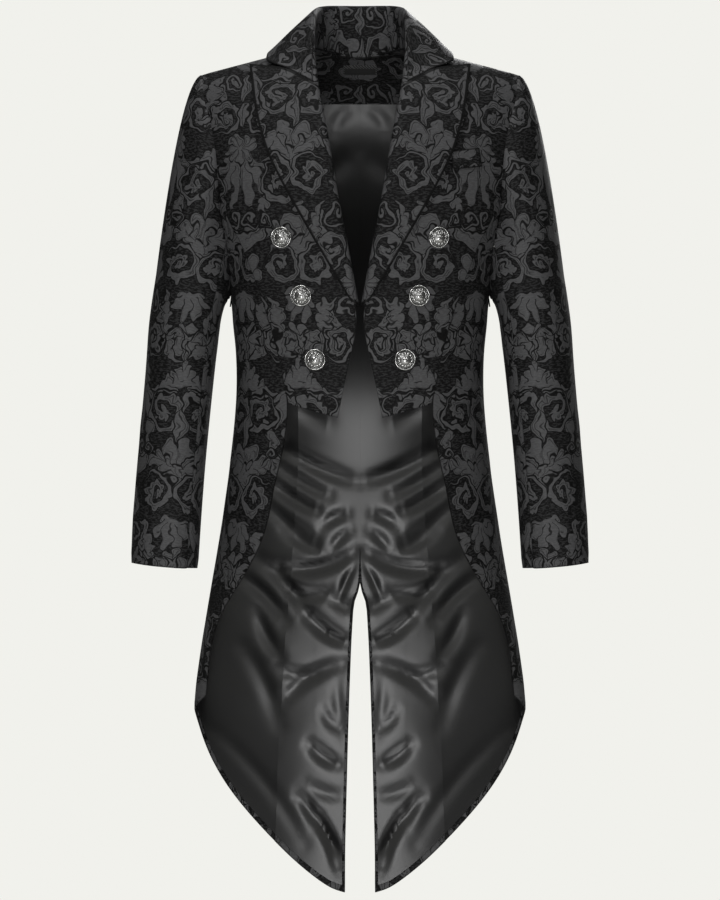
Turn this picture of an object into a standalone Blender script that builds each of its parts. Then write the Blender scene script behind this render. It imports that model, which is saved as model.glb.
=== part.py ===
"""A double-breasted brocade tailcoat, worn shape, hollow, with no wearer.

Metres, +Z up, the coat faces -Y and the wearer's left is +X. The origin is
midway between the two neck points, where the shoulders carry the coat.
Tables are in millimetres; mm() turns them into metres.
"""

import math

import bmesh
import bpy
import numpy as np
from mathutils import Vector

# ---------------------------------------------------------------- sizes (mm)
CLOTH = 1.8          # brocade with its interlining
FOLDED = 2.0         # collar and lapel, faced
SATIN = 1.0          # lining
SEAM = 0.34          # each edge stands back this far from its seam
LAYER = 0.5          # clearance between layers that lie on each other

NECK_HALF = 64.0     # neck point to centre
NECK_BACK_Z = 8.0    # back neck seam at the centre
RIDGE_Z = 18.5       # shoulder seam at the neck point
RIDGE_FALL = 0.265   # shoulder slope
SHOULDER_X = 205.0   # shoulder point
ROUND_FRONT = 190.0  # height over which the front rounds forward from the ridge
ROUND_BACK = 112.0
POWER = 2.35         # fullness of the body's plan section
SLEEVE_TOP_Z = -325.0
SKIRT_BACK = 55.0    # the side of the skirt swings back by this
BUTTON_D = 28.0
BUTTON_H = 9.0

# body sections: height, half width, depth in front, depth behind
BODY = (
    (30, 217, 104, 112), (-22, 216, 106, 114), (-60, 214, 110, 116),
    (-110, 211, 116, 118), (-160, 203, 119, 118), (-200, 193, 120, 116),
    (-240, 182, 119, 113), (-275, 172.5, 117, 110), (-325, 166.5, 112, 104),
    (-377, 161.5, 106, 97), (-416, 160.5, 103, 94), (-455, 162, 104, 95),
    (-494, 166, 107, 99), (-546, 172, 112, 107), (-598, 180, 116, 115),
    (-650, 188.5, 112, 122), (-702, 197.6, 100, 128), (-754, 207, 84, 133),
    (-806, 215, 66, 137), (-832, 217, 58, 139), (-900, 218, 55, 142),
    (-1090, 219, 55, 146),
)
# armhole: height, x on the front, x on the back
ARMHOLE = (
    (-14, 205, 205), (-50, 204, 205), (-75, 197, 200), (-90, 191, 196),
    (-112, 187, 193), (-160, 184.5, 190), (-200, 182, 184), (-235, 174.5, 176),
    (-258, 172, 172.5), (-271, 171.5, 171.5),
)
# seam from the armhole to the hem, on the back
SIDE_BACK = (
    (-165, 189.6), (-200, 168), (-250, 143), (-300, 121), (-350, 102),
    (-400, 88), (-440, 82), (-500, 81), (-600, 87), (-700, 95), (-800, 102),
    (-900, 108), (-1090, 114),
)
# seam from the armhole to the waist, on the front
SIDE_FRONT = (
    (-180, 183.3), (-220, 163), (-260, 146), (-300, 131), (-350, 115),
    (-400, 102), (-447, 93),
)
# front of the skirt: the cutaway edge
CUTAWAY = (
    (-447, 93), (-506, 100), (-551, 112), (-596, 119), (-628, 128),
    (-664, 146), (-705, 173), (-727, 186), (-767, 196.5), (-819, 199.5),
    (-830, 202), (-1090, 202),
)
# lower edge of the tails from the vent round to the cutaway: x, height, where
HEM = (
    (19.5, -1084, "back"), (37, -1079, "back"), (56.5, -1066, "back"),
    (88, -1040, "back"), (114, -1014, "back"), (138.5, -988, "back"),
    (161, -962, "back"), (179, -936, "back"), (193, -910, "back"),
    (204, -884, "back"), (211, -862, "back"), (215.5, -848, "back"),
    (217, -841, "side"), (212, -836, "front"), (201.5, -826, "front"),
)
# vent: height, half gap
VENT = (
    (-686, 0), (-702, 4), (-767, 8.5), (-832, 12), (-897, 15), (-962, 17.5),
    (-1027, 19.5), (-1090, 19.5),
)
# inner edge of the front: neck seam, roll line, then the centre-front edge
INNER = (
    (18.5, 64), (0, 62), (-20, 60.5), (-52, 54.6), (-104, 45.5), (-182, 32.5),
    (-234, 22), (-286, 12), (-312, 7.8), (-326, 1.2), (-350, 4), (-382, 11.4),
    (-407, 18), (-464, 29),
)
BOTTOM = ((29, -465), (60, -457), (93, -447))   # lower edge of the front
# outer edge of the lapel from the peak down: x, height
LAPEL_OUT = (
    (142, -9.5), (139.5, -24), (136, -55), (131, -83), (119.6, -121),
    (102, -157), (77, -201.5), (58, -235), (39.4, -266.5), (22, -296), (13.5, -310),
)
NOTCH = (96, -14.5)
GORGE = (57.7, -35)
# roll over the front edge: distance across, height above the front
ROLL = ((-3.0, -1.9), (-3.7, 0.3), (-2.9, 2.9), (-0.4, 5.2), (5.0, 6.4))
# collar, from the centre back to the front end: where the stand is sewn on
# (x on the back neck, z on the front neck edge), how far it stands in and up,
# the fold (x, y, z), the leaf's edge (x, z, where) and its lift off the coat
COLLAR = (
    (0.00, 0, "back", 0.9, 0.9, (0, 59.5, 70), (0, -6, "back"), 3.6),
    (0.20, 27, "back", 0.9, 0.9, (27, 54, 70.2), (36, -6.5, "back"), 3.6),
    (0.40, 48, "back", 1.2, 0.9, (45, 40.5, 69.5), (72, -6, "back"), 3.6),
    (0.56, 61, "back", 1.6, 0.9, (55, 20, 65.5), (104, -1, "back"), 3.6),
    (0.70, 14.5, "front", 2.4, 0.9, (59.5, -13, 52), (117.5, 4.3, "ridge"), 3.8),
    (0.84, 1.0, "front", 3.0, 0.5, (60.6, -47, 19), (118.5, 1.6, "front"), 5.0),
    (0.92, -17.0, "front", 3.6, 0.2, (58.2, -66, -8), (120, -2.0, "front"), 5.4),
)
COLLAR_END = (120.5, -6.0)
GORGE_GAP = 0.7      # the collar's end stands off the lapel's top by this
BUTTONS = ((101.8, -231), (76.3, -306.5), (58.1, -389.5))
WELT = ((118, -120), (154, -115.5), (157.5, -139), (121, -142.5))
FACING_Z = -55.0
# large folds of the lining: from (x, z) to (x, z), width, depth
FOLDS = (
    ((105, -512), (20, -562), 30, 5.0), ((112, -592), (58, -642), 30, 5.0),
    ((130, -662), (60, -742), 32, 5.0), ((92, -835), (30, -800), 28, 3.5),
)
# heights of the rows shared by backs, side bodies and fronts
LEVELS = (-215, -252, -290, -326, -366, -407, -447)
BACK_U = (0, 0.05, 0.16, 0.3122, 0.46, 0.62, 0.8, 1.0)
SIDE_U = (0, 0.13, 0.26, 0.36, 0.43, 0.5, 0.57, 0.64, 0.74, 0.87, 1.0)
FRONT_U = (0, 0.1, 0.23, 0.38, 0.53, 0.68, 0.84, 1.0)
LOW_ROWS = 13


def mm(p):
    return Vector((p[0] / 1000, p[1] / 1000, p[2] / 1000))


def look(table, z, col=1):
    """Value of a table at height z; the table runs from high to low."""
    zs = [-row[0] for row in table]
    return float(np.interp(-z, zs, [row[col] for row in table]))


def ridge(x):
    """Height of the shoulder seam, rounded over between the neck points."""
    if abs(x) < NECK_HALF:
        return RIDGE_Z + RIDGE_FALL * (NECK_HALF ** 2 - x * x) / (2 * NECK_HALF)
    return RIDGE_Z - RIDGE_FALL * (abs(x) - NECK_HALF)


def high(where):
    return ROUND_BACK if where in ("back", "ridge") else ROUND_FRONT


def drop(s, h):
    """Height lost and share of the full depth, s down the cloth from the
    shoulder seam, over a quarter round of radius h and then straight down."""
    if s < h * math.pi / 2:
        return h * (1 - math.cos(s / h)), math.sin(s / h)
    return h + s - h * math.pi / 2, 1.0


def length(down, h):
    """Cloth length from the shoulder seam for a height lost."""
    if down < h:
        return h * math.acos(1 - max(down, 0) / h)
    return h * math.pi / 2 + down - h


def half_width(z):
    return look(BODY, z, 1)


def turn_of(x, z, where):
    """Turn whose point lies at x, on the back or the front."""
    if where == "side":
        return 90.0
    t = math.degrees(math.asin(min(abs(x) / half_width(z), 1.0) ** (POWER / 2)))
    return 180 - t if where == "front" else t


def at_x(x, s, where):
    """Place on the coat at x and s down the cloth."""
    z = ridge(x) - drop(s, high(where))[0]
    return turn_of(x, z, where), s


def at_z(x, z, where):
    """Place on the coat at x and height z."""
    return turn_of(x, z, where), length(ridge(x) - z, high(where))


def at_turn(turn, z):
    x = half_width(z) * math.sin(math.radians(turn)) ** (2 / POWER)
    return turn, length(ridge(x) - z, ROUND_BACK if turn < 90 else ROUND_FRONT)


def side_back_by(z):
    """How far the side of the skirt lies behind the shoulder line."""
    return SKIRT_BACK * min(max((LEVELS[-1] - z) / 400, 0), 1)


def body(place):
    """Point on the coat's outer face. A place is a turn (0 at the centre
    back, 90 at the side, 180 at the centre front) and a length down the cloth."""
    turn, s = place
    sn, cs = math.sin(math.radians(turn)), math.cos(math.radians(turn))
    h = ROUND_BACK if cs > 0 else ROUND_FRONT
    lost, share = drop(abs(s), h)
    z = -100.0
    for _ in range(7):
        x = half_width(z) * abs(sn) ** (2 / POWER)
        z = ridge(x) - lost
    depth = look(BODY, z, 3) if cs > 0 else -look(BODY, z, 2)
    depth *= abs(cs) ** (2 / POWER)
    hang = min(max((-z - 560) / 300, 0), 1) * 4.0 * math.sin(math.radians(turn) * 5.3 + 0.6)
    hang *= min(abs(cs) * 3, 1)
    back = side_back_by(z)
    if cs > 0:
        depth *= 1 - back / look(BODY, z, 3)
    y = back + depth * share * (1 if s >= 0 else -1) + (hang if cs > 0 else -hang * 0.4)
    return np.array([x * (1 if sn >= 0 else -1), y, z])


def normal(place):
    """Outward normal of the coat at a place."""
    turn, s = place
    p = body(place)
    if p[2] < ridge(p[0]) - 40:
        z = p[2]
        u = body(at_turn(min(turn + 0.7, 180), z)) - body(at_turn(max(turn - 0.7, 0), z))
        v = body(at_turn(turn, z + 2)) - body(at_turn(turn, z - 2))
    else:
        u = body((turn + 0.7, s)) - body((turn - 0.7, s))
        v = body((turn, s - 2)) - body((turn, s + 2))
    n = np.cross(u, v)
    n = n / max(np.linalg.norm(n), 1e-9)
    out = np.array([p[0], p[1], 60.0 if p[2] > ridge(p[0]) - 40 else 0.0])
    return n if np.dot(n, out) > 0 else -n


def lifted(place, lift=0.0):
    return body(place) + normal(place) * lift


def on_body(x, z, where, lift=0.0):
    """Point at x, z on the body, lifted off along the outward normal."""
    return lifted(at_z(x, z, where), lift)


# ------------------------------------------------------------ scene helpers
for old in list(bpy.data.objects):
    bpy.data.objects.remove(old, do_unlink=True)
coat = bpy.data.collections.new("tailcoat")
bpy.context.scene.collection.children.link(coat)


def material(name, colour, rough, metal=0.0):
    m = bpy.data.materials.new(name)
    m.use_nodes = True
    b = m.node_tree.nodes["Principled BSDF"]
    b.inputs["Base Color"].default_value = (*colour, 1)
    b.inputs["Roughness"].default_value = rough
    b.inputs["Metallic"].default_value = metal
    m.diffuse_color = (*colour, 1)
    return m


BROCADE = material("black_brocade", (0.03, 0.03, 0.032), 0.6)
LINING = material("black_satin", (0.012, 0.012, 0.013), 0.28)
METAL = material("aged_silver", (0.38, 0.38, 0.37), 0.35, 1.0)
WOVEN = material("label_weave", (0.02, 0.02, 0.02), 0.7)


def cloth(name, rows, thick, mat, out):
    """Open grid of points (mm) as a surface, thickened away from its face.
    out is a point on the side that the face looks to."""
    bm = bmesh.new()
    verts = [[bm.verts.new(mm(p)) for p in row] for row in rows]
    for r0, r1 in zip(verts, verts[1:]):
        for c in range(len(r0) - 1):
            bm.faces.new((r0[c], r0[c + 1], r1[c + 1], r1[c]))
    bm.normal_update()
    bm.faces.ensure_lookup_table()
    mid = bm.faces[len(bm.faces) // 2]
    if mid.normal.dot(mm(out) - mid.calc_center_median()) < 0:
        bmesh.ops.reverse_faces(bm, faces=bm.faces[:])
    mesh = bpy.data.meshes.new(name)
    bm.to_mesh(mesh)
    bm.free()
    mesh.shade_smooth()
    ob = bpy.data.objects.new(name, mesh)
    ob.data.materials.append(mat)
    coat.objects.link(ob)
    sol = ob.modifiers.new("thickness", "SOLIDIFY")
    sol.thickness = thick / 1000
    sol.offset = -1
    return ob


def flip(rows):
    return [[np.array([-p[0], p[1], p[2]]) for p in row] for row in rows]


def pair(name, rows, thick, mat, out):
    """The wearer's left piece and its mirror image."""
    cloth(name + "_left", rows, thick, mat, out)
    cloth(name + "_right", flip(rows), thick, mat, (-out[0], out[1], out[2]))


# --------------------------------------------------------------- grid helpers
def pull(rows, left=0.0, right=0.0, top=0.0, bottom=0.0):
    """Draws the edges of a grid of points in along its own lines."""
    g = [[p.copy() for p in row] for row in rows]

    def step(p, q, d):
        v = q - p
        return p + v * min(d / max(np.linalg.norm(v), 1e-6), 0.9)

    for k, row in enumerate(rows):
        l = left[k] if isinstance(left, list) else left
        r = right[k] if isinstance(right, list) else right
        g[k][0] = step(row[0], row[1], l)
        g[k][-1] = step(row[-1], row[-2], r)
    for c in range(len(rows[0])):
        g[0][c], g[-1][c] = step(g[0][c], g[1][c], top), step(g[-1][c], g[-2][c], bottom)
    return g


def points(places, lift=0.0, fold=None):
    out = []
    for row in places:
        line = []
        for place in row:
            d = lift
            if fold:
                p = body(place)
                d -= fold(p[0], p[2])
            line.append(lifted(place, d) if d else body(place))
        out.append(line)
    return out


def mix(a, b, t):
    return a + (b - a) * t


def hem_rows(left, right, cols, n=400):
    """Heights where the columns between two moving edges meet the hem."""
    table = [(turn_of(x, z, where), z) for x, z, where in HEM]
    shares, zs = [], []
    for i in range(n + 1):
        turn = mix(table[0][0] - 2, table[-1][0] + 2, i / n)
        z = float(np.interp(turn, [t[0] for t in table], [t[1] for t in table]))
        shares.append((turn - left(z)) / (right(z) - left(z)))
        zs.append(z)
    order = np.argsort(shares)
    return [float(np.interp(u, np.array(shares)[order], np.array(zs)[order])) for u in cols]


# ------------------------------------------------------------------ the backs
def neck_z(x):
    return mix(NECK_BACK_Z, RIDGE_Z, min(abs(x) / NECK_HALF, 1) ** 2)


def side_back_turn(z):
    return turn_of(look(SIDE_BACK, z), z, "back")


def back_places():
    """From the neck and shoulder seam to the tail tip; four rows to the edge
    of the neck facing, four to the end of the armhole, then the shared rows."""
    rows = []
    for k in range(5):
        row = []
        for u in BACK_U:
            x = SHOULDER_X * u
            s0 = length(ridge(x) - neck_z(x), ROUND_BACK) if x < NECK_HALF else 0.0
            s1 = length(ridge(x) - FACING_Z, ROUND_BACK)
            s = mix(s0, s1, (k / 4) ** 1.5)
            z = ridge(x) - drop(s, ROUND_BACK)[0]
            row.append(at_x(min(look(ARMHOLE, z, 2), SHOULDER_X) * u, s, "back"))
        rows.append(row)
    end = SIDE_BACK[0][0]
    for k in range(1, 5):
        z = mix(FACING_Z, end, k / 4)
        rows.append([at_z(look(ARMHOLE, z, 2) * u, z, "back") for u in BACK_U])
    for z in LEVELS:
        rows.append([at_z(look(SIDE_BACK, z) * u, z, "back") for u in BACK_U])
    zb = hem_rows(lambda z: turn_of(look(VENT, z), z, "back"), side_back_turn, BACK_U)
    for k in range(1, LOW_ROWS + 1):
        row = []
        for u, low in zip(BACK_U, zb):
            z = mix(LEVELS[-1], low, k / LOW_ROWS)
            row.append(at_turn(mix(turn_of(look(VENT, z), z, "back"), side_back_turn(z), u), z))
        rows.append(row)
    return rows


# ------------------------------------------------------- side bodies and tails
def side_front_turn(z):
    x = look(SIDE_FRONT, z) if z > LEVELS[-1] else look(CUTAWAY, z)
    return turn_of(x, z, "front")


def armhole_low():
    """Places along the lower armhole, from the back seam under the arm to the
    front seam."""
    heights = (-200, -235, -258, -271)
    back = [(SIDE_BACK[0][0], "back")] + [(z, "back") for z in heights]
    front = [(z, "front") for z in heights[::-1]] + [(SIDE_FRONT[0][0], "front")]
    row = [at_z(look(ARMHOLE, z, 2), z, w) for z, w in back]
    row.append(at_turn(90.0, -277.0))
    return row + [at_z(look(ARMHOLE, z, 1), z, w) for z, w in front]


def side_places():
    ring = armhole_low()
    ring_z = [body(p)[2] for p in ring]
    b0, f0, end = SIDE_BACK[0][0], SIDE_FRONT[0][0], LEVELS[-1]
    rows = [ring]
    for level in LEVELS:
        row = []
        for u, (turn0, _), z0 in zip(SIDE_U, ring, ring_z):
            f = mix((level - b0) / (end - b0), (level - f0) / (end - f0), u)
            z = mix(z0, end, f)
            even = mix(side_back_turn(z), side_front_turn(max(z, end + 0.01)), u)
            w = (1 - f) ** 1.6 if 0 < u < 1 else 0
            row.append(at_turn(mix(even, turn0, w), z))
        rows.append(row)
    zb = hem_rows(side_back_turn, lambda z: side_front_turn(min(z, end)), SIDE_U)
    for k in range(1, LOW_ROWS + 1):
        row = []
        for u, low in zip(SIDE_U, zb):
            z = mix(end, low, k / LOW_ROWS)
            row.append(at_turn(mix(side_back_turn(z), side_front_turn(min(z, end)), u), z))
        rows.append(row)
    return rows


# ------------------------------------------------------------------ the fronts
def front_places():
    rows = []
    n, end = 7, SIDE_FRONT[0][0]
    for k in range(n + 1):
        row = []
        for u in FRONT_U:
            x = mix(NECK_HALF, SHOULDER_X, u)
            s = length(ridge(x) - end, ROUND_FRONT) * (k / n) ** 1.25
            for _ in range(5):
                z = ridge(x) - drop(s, ROUND_FRONT)[0]
                x = mix(look(INNER, z), min(look(ARMHOLE, z, 1), SHOULDER_X), u)
            if k == n:
                row.append(at_z(mix(look(INNER, end), look(ARMHOLE, end, 1), u), end, "front"))
            else:
                row.append(at_x(x, s, "front"))
        rows.append(row)
    for i, level in enumerate(LEVELS, 1):
        row = []
        for u in FRONT_U:
            xb = mix(BOTTOM[0][0], BOTTOM[-1][0], u)
            low = float(np.interp(xb, [b[0] for b in BOTTOM], [b[1] for b in BOTTOM]))
            z = level + (low - LEVELS[-1]) * (i / len(LEVELS)) ** 2
            x = mix(look(INNER, z), look(SIDE_FRONT, max(z, LEVELS[-1])), u)
            row.append(at_z(x, z, "front"))
        rows.append(row)
    return rows


# ------------------------------------------------------------------ the lapels
GORGE_WAY = np.array([NOTCH[0] - GORGE[0], NOTCH[1] - GORGE[1]])
GORGE_WAY = GORGE_WAY / np.linalg.norm(GORGE_WAY)


def leaf_height(q):
    """Lift of the turned-over cloth, q from the roll to the outer edge."""
    return 6.4 - 2.0 * q ** 1.5


def lapel_points():
    n = 14
    steps = [math.hypot(a[0] - b[0], a[1] - b[1]) for a, b in zip(LAPEL_OUT, LAPEL_OUT[1:])]
    along = np.cumsum([0] + steps)
    rows = []
    for i in range(n + 1):
        v = i / n
        z_in = mix(GORGE[1], -317, v)
        x_in = look(INNER, z_in)
        x_out, z_out = (float(np.interp(along[-1] * v, along, [p[k] for p in LAPEL_OUT]))
                        for k in (0, 1))
        wide = math.hypot(x_out - x_in, z_out - z_in)
        way = np.array([x_out - x_in, z_out - z_in]) / wide
        near = mix(GORGE_WAY, way, min(v * 6, 1))
        near = near / np.linalg.norm(near)
        small = min(1.0, wide / 30)
        row = []
        for w, h in ROLL:
            w = w if w < 0 else w * small
            h = h if h < 3 else 3 + (h - 3) * max(small, 0.6)
            row.append((x_in + near[0] * w, z_in + near[1] * w, h))
        start = ROLL[-1][0] * small / wide
        for q in (0.2, 0.436, 0.62, 0.82, 1.0):
            s = mix(start, 1, q) if v > 0.17 else mix(start * 0.0, 1, q)
            x, z = x_in + way[0] * wide * s, z_in + way[1] * wide * s
            line = mix(GORGE[1], LAPEL_OUT[0][1], 0.436)
            k = q / 0.436 if q < 0.436 else (1 - q) / 0.564
            z += (NOTCH[1] - line) * k * max(1 - v * 7, 0)
            row.append((x, z, leaf_height(q) - max(v - 0.85, 0) * 8))
        rows.append([on_body(x, z, "front", h) for x, z, h in row])
    return rows


# ------------------------------------------------------------------ the collar
def neck_point(value, where):
    if where == "back":
        return on_body(value, neck_z(value), "back")
    return on_body(look(INNER, value), value, "front")


def collar_station(row):
    v, at, where, inward, up, fold, (ex, ez, ewhere), lift = row
    p = neck_point(at, where)
    to_centre = np.array([-p[0], -p[1], 0.0])
    to_centre = to_centre / np.linalg.norm(to_centre)
    if where == "front":
        to_centre = np.array([-1.0, 0.0, 0.0])
    stand = p + to_centre * inward + np.array([0, 0, up])
    return v, stand, np.array(fold, float), on_body(ex, ez, ewhere, lift)


def collar_end():
    """The collar's front end, along the gorge and on to its corner."""
    pts = []
    roll = [ROLL[0], ROLL[1], ((ROLL[1][0] + ROLL[2][0]) / 2 - 0.15, 1.6), ROLL[2], ROLL[3], ROLL[4]]
    off_x, off_z = -GORGE_WAY[1] * GORGE_GAP, GORGE_WAY[0] * GORGE_GAP
    for w, h in roll:
        x, z = GORGE[0] + GORGE_WAY[0] * w + off_x, GORGE[1] + GORGE_WAY[1] * w + off_z
        pts.append(on_body(x, z, "front", h))
    for q in (0.2, 0.42, 0.6, 0.8, 1.0):
        x, z = mix(GORGE[0], COLLAR_END[0], q), mix(GORGE[1], COLLAR_END[1], q)
        if q < 0.61:
            x, z = mix(GORGE[0], NOTCH[0], q / 0.6), mix(GORGE[1], NOTCH[1], q / 0.6)
        pts.append(on_body(x + off_x, z + off_z, "front", leaf_height(q * 0.72)))
    return pts


def collar_section(stand, fold, edge):
    """Up the stand, round the fold, and down the leaf to its edge."""
    out = edge - stand
    out[2] = 0
    out = out / np.linalg.norm(out)
    up = np.array([0.0, 0.0, 1.0])
    r = 3.4
    pts = [stand, mix(stand, fold, 0.4), mix(stand, fold, 0.78)]
    for deg in (155, 90, 25):
        a = math.radians(deg)
        pts.append(fold + out * r * (1 + math.cos(a)) + up * r * (math.sin(a) - 1))
    top = fold + out * 2 * r - up * r * 1.4
    for k in (0.16, 0.38, 0.6, 0.82, 1.0):
        belly = 5.5 * math.sin(math.pi * k ** 0.7)
        pts.append(mix(top, edge, k) + (out + up * 0.4) * belly)
    return pts


def collar_points():
    stations = [collar_station(row) for row in COLLAR]
    turn = np.array([-1, 1, 1])
    first = [stations[1][k] * turn for k in (1, 2, 3)]
    v1 = stations[-1][0]
    at = [-stations[1][0]] + [s[0] for s in stations]
    lines = []
    for k in (1, 2, 3):
        lines.append([first[k - 1]] + [s[k] for s in stations])
        lines[-1].append(2 * lines[-1][-1] - lines[-1][-2])
    at.append(2 * at[-1] - at[-2])

    def guide(pts, v):
        i = min(max(j for j in range(1, len(at) - 1) if at[j] <= v + 1e-9), len(at) - 2)
        i = min(i, len(at) - 3) if v <= v1 else len(at) - 2
        if i >= len(at) - 2:
            return mix(pts[-2], pts[-1], (v - at[-2]) / (at[-1] - at[-2]))
        h = at[i + 1] - at[i]
        t = (v - at[i]) / h
        m0 = (pts[i + 1] - pts[i - 1]) / (at[i + 1] - at[i - 1]) * h
        m1 = (pts[i + 2] - pts[i]) / (at[i + 2] - at[i]) * h
        return ((2 * t ** 3 - 3 * t ** 2 + 1) * pts[i] + (t ** 3 - 2 * t ** 2 + t) * m0
                + (-2 * t ** 3 + 3 * t ** 2) * pts[i + 1] + (t ** 3 - t ** 2) * m1)

    end = collar_end()
    half = []
    n = 15
    for i in range(n + 1):
        v = i / n
        row = collar_section(*[guide(line, v) for line in lines])
        k = min(max((v - 0.84) / 0.16, 0), 1)
        k = k * k * (3 - 2 * k)
        half.append([mix(p, q, k) for p, q in zip(row, end)])
    return [[p * turn for p in row] for row in half[:0:-1]] + half


# ----------------------------------------------------------------- the sleeves
# height, outer x, inner x, y of the middle, half depth
SLEEVE = (
    (-325, 271.5, 177.2, -2, 72), (-377, 276.5, 184, -3, 69), (-442, 281.8, 191, -6, 65),
    (-507, 288, 197.6, -10, 61), (-572, 293.8, 202.8, -15, 57), (-655, 298, 208.5, -21, 53),
)
SLEEVE_UP, SLEEVE_DOWN = 6, 7


def sleeve_section(psi, z):
    """psi is 0 on the outer side, 90 in front, 180 next to the body."""
    outer, inner, y, deep = (look(SLEEVE, z, k) for k in (1, 2, 3, 4))
    c, s = math.cos(math.radians(psi)), math.sin(math.radians(psi))
    x = (outer + inner) / 2 + (outer - inner) / 2 * math.copysign(abs(c) ** 0.9, c)
    return np.array([x, y - deep * math.copysign(abs(s) ** 0.9, s), z])


def sleeve_grid():
    """The whole sleeve on the armhole's own points, from the shoulder point
    round the front, under the arm and up the back."""
    front = [row[-1] for row in points(front_places())[:8]]
    low = points([armhole_low()])[0][::-1]
    back = [row[-1] for row in points(back_places())[:9]][::-1]
    ring = front + low[1:] + back[1:]
    steps = [np.linalg.norm(b - a) for a, b in zip(ring, ring[1:])]
    along = np.cumsum([0] + steps)
    under = len(front) - 1 + 5
    psi = [180 * d / along[under] if i <= under else
           180 + 180 * (d - along[under]) / (along[-1] - along[under])
           for i, d in enumerate(along)]
    rows = [[] for _ in range(SLEEVE_UP + SLEEVE_DOWN + 1)]
    for a, p in zip(ring, psi):
        k = (1 - math.cos(math.radians(p))) / 2
        way = np.array([1.0 - 0.72 * k, -0.35 * math.sin(math.radians(p)), 0.02 - 1.09 * k])
        way = way / np.linalg.norm(way)
        b = sleeve_section(p, SLEEVE_TOP_Z)
        size = np.linalg.norm(b - a)
        m0 = way * min(size * 1.05, 82)
        m1 = np.array([0.13, 0, -1.0]) * size
        for i in range(SLEEVE_UP + 1):
            t = (i / SLEEVE_UP) ** 1.5
            rows[i].append((2 * t ** 3 - 3 * t ** 2 + 1) * (a + way * (1.1 - 0.65 * k)) + (t ** 3 - 2 * t ** 2 + t) * m0
                           + (-2 * t ** 3 + 3 * t ** 2) * b + (t ** 3 - t ** 2) * m1)
        low_z = -656 + 4.0 * math.cos(math.radians(p)) - 2.0 * math.sin(math.radians(p)) ** 2
        for i in range(1, SLEEVE_DOWN + 1):
            rows[SLEEVE_UP + i].append(sleeve_section(p, mix(SLEEVE_TOP_Z, low_z, i / SLEEVE_DOWN)))
    return rows, psi


def sleeve_part(top):
    rows, psi = sleeve_grid()
    first = min(range(len(psi)), key=lambda j: abs(psi[j] - 118))
    last = min(range(len(psi)), key=lambda j: abs(psi[j] - 240))
    if top:
        cut = [row[last:-1] + row[:first + 1] for row in rows]
    else:
        cut = [row[first:last + 1] for row in rows]
    return pull(cut, SEAM + 0.3, SEAM + 0.3)


# ------------------------------------------------------------ the small pieces
def facing_points():
    rows = points([row[:5] for row in back_places()[:5]], -(CLOTH + LAYER))
    rows = pull(rows, top=2.0, right=0.4)
    return [[p * np.array([-1, 1, 1]) for p in row[:0:-1]] + row for row in rows]


def label_points():
    rows = []
    for z in (-3, -9, -15):
        half = [on_body(x, z, "back", -(CLOTH + 2 * LAYER + 1.2 + 0.7)) for x in (0, 7.3, 14.6, 22)]
        rows.append([p * np.array([-1, 1, 1]) for p in half[:0:-1]] + half)
    return rows


def welt_points():
    (x0, z0), (x1, z1), (x2, z2), (x3, z3) = WELT
    rows = []
    for v in (0, 0.33, 0.67, 1):
        rows.append([on_body(mix(mix(x0, x1, u), mix(x3, x2, u), v),
                             mix(mix(z0, z1, u), mix(z3, z2, u), v), "front", 1.6)
                     for u in (0, 0.2, 0.4, 0.6, 0.8, 1)])
    return rows


def button(name, x, z, side):
    """Domed metal button with a raised rim: a turned profile, outer side
    first, standing on the cloth."""
    r, h = BUTTON_D / 2, BUTTON_H
    profile = ((0.0, h), (r * 0.42, h * 0.93), (r * 0.72, h * 0.74), (r * 0.8, h * 0.62),
               (r * 0.86, h * 0.70), (r * 0.96, h * 0.6), (r, h * 0.42), (r * 0.9, h * 0.25),
               (r * 0.5, 0.4), (0.0, 0.3))
    bm = bmesh.new()
    vs = [bm.verts.new((p[0] / 1000, 0, p[1] / 1000)) for p in profile]
    for a, b in zip(vs, vs[1:]):
        bm.edges.new((a, b))
    mesh = bpy.data.meshes.new(name)
    bm.to_mesh(mesh)
    bm.free()
    ob = bpy.data.objects.new(name, mesh)
    ob.data.materials.append(METAL)
    coat.objects.link(ob)
    turned = ob.modifiers.new("turned", "SCREW")
    turned.axis = "Z"
    turned.steps = turned.render_steps = 16
    turned.use_merge_vertices = True
    turned.merge_threshold = 1e-5
    place = at_z(x, z, "front")
    n, p = normal(place), lifted(place, 0.2)
    if side < 0:
        n, p = n * np.array([-1, 1, 1]), p * np.array([-1, 1, 1])
    ob.rotation_mode = "QUATERNION"
    ob.rotation_quaternion = Vector(n).to_track_quat("Z", "Y")
    ob.location = mm(p)
    return ob


# ------------------------------------------------------------------ build them
BEHIND, ASIDE, BEFORE = (60, 900, -300), (900, 0, -400), (60, -900, -200)

backs = points(back_places())
pair("back", pull(backs, SEAM, SEAM, SEAM), CLOTH, BROCADE, BEHIND)
sides = points(side_places())
pair("side", pull(sides, SEAM, SEAM, SEAM), CLOTH, BROCADE, ASIDE)
fronts = points(front_places())
under_roll = [1.8 if -305 < row[0][2] < 12 else 0.1 for row in fronts]
pair("front", pull(fronts, under_roll, SEAM, SEAM), CLOTH, BROCADE, BEFORE)
pair("top_sleeve", sleeve_part(True), CLOTH, BROCADE, (900, 0, -250))
pair("under_sleeve", sleeve_part(False), CLOTH, BROCADE, (0, 0, -420))
pair("lapel", pull(lapel_points(), top=0.4), FOLDED, BROCADE, (60, -900, -150))
cloth("collar", collar_points(), FOLDED, BROCADE, (0, 60, 900))


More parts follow.
